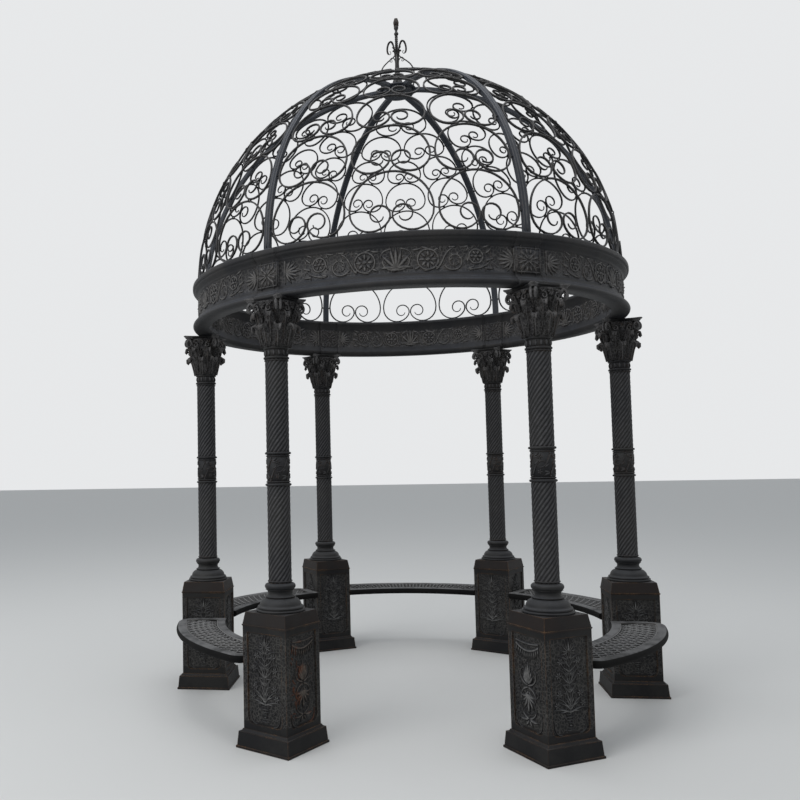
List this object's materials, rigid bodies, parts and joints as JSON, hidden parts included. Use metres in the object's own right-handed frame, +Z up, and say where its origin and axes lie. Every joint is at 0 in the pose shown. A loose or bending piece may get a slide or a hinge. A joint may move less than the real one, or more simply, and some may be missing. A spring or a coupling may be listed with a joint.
{
  "type": "garden rotunda",
  "caption": "Ornate cast iron garden rotunda: spiral columns on panelled pedestals carry a ring beam and an open scrollwork dome with a spear finial, and curved benches line the closed bays",
  "frame": {"origin": "bottom centre of the whole's bounding box, at ground level; the plan's centre lies 60 mm from it towards -Y", "axes": "+Z up, -Y towards the open entrance bay, +X to the right for someone who looks at the entrance from outside; column 1 stands on the +X side and the numbers run anticlockwise seen from above"},
  "size_m": [3.382, 3.2398, 4.9486],
  "materials": {
    "iron": "satin black paint, dusty, with rust on edges",
    "worn_iron": "worn satin black paint over rust",
    "seat": "satin, rubbed grey"
  },
  "bodies": {
    "root": {"pedestal_1": "worn_iron", "pedestal_2": "worn_iron", "pedestal_3": "worn_iron", "pedestal_4": "worn_iron", "pedestal_5": "worn_iron", "pedestal_6": "worn_iron", "column_1": "iron", "column_2": "iron", "column_3": "iron", "column_4": "iron", "column_5": "iron", "column_6": "iron", "capital_1": "iron", "capital_2": "iron", "capital_3": "iron", "capital_4": "iron", "capital_5": "iron", "capital_6": "iron", "bench_1": "seat", "bench_2": "seat", "bench_3": "seat", "bench_4": "seat", "bench_5": "seat", "beam_1": "iron", "beam_2": "iron", "beam_3": "iron", "beam_4": "iron", "beam_5": "iron", "beam_6": "iron", "beam_blocks": "iron", "rib_1": "iron", "rib_2": "iron", "rib_3": "iron", "rib_4": "iron", "rib_5": "iron", "rib_6": "iron", "dome_panel_1": "iron", "dome_panel_2": "iron", "dome_panel_3": "iron", "dome_panel_4": "iron", "dome_panel_5": "iron", "dome_panel_6": "iron", "crown": "iron", "finial": "iron"}
  },
  "joints": []
}
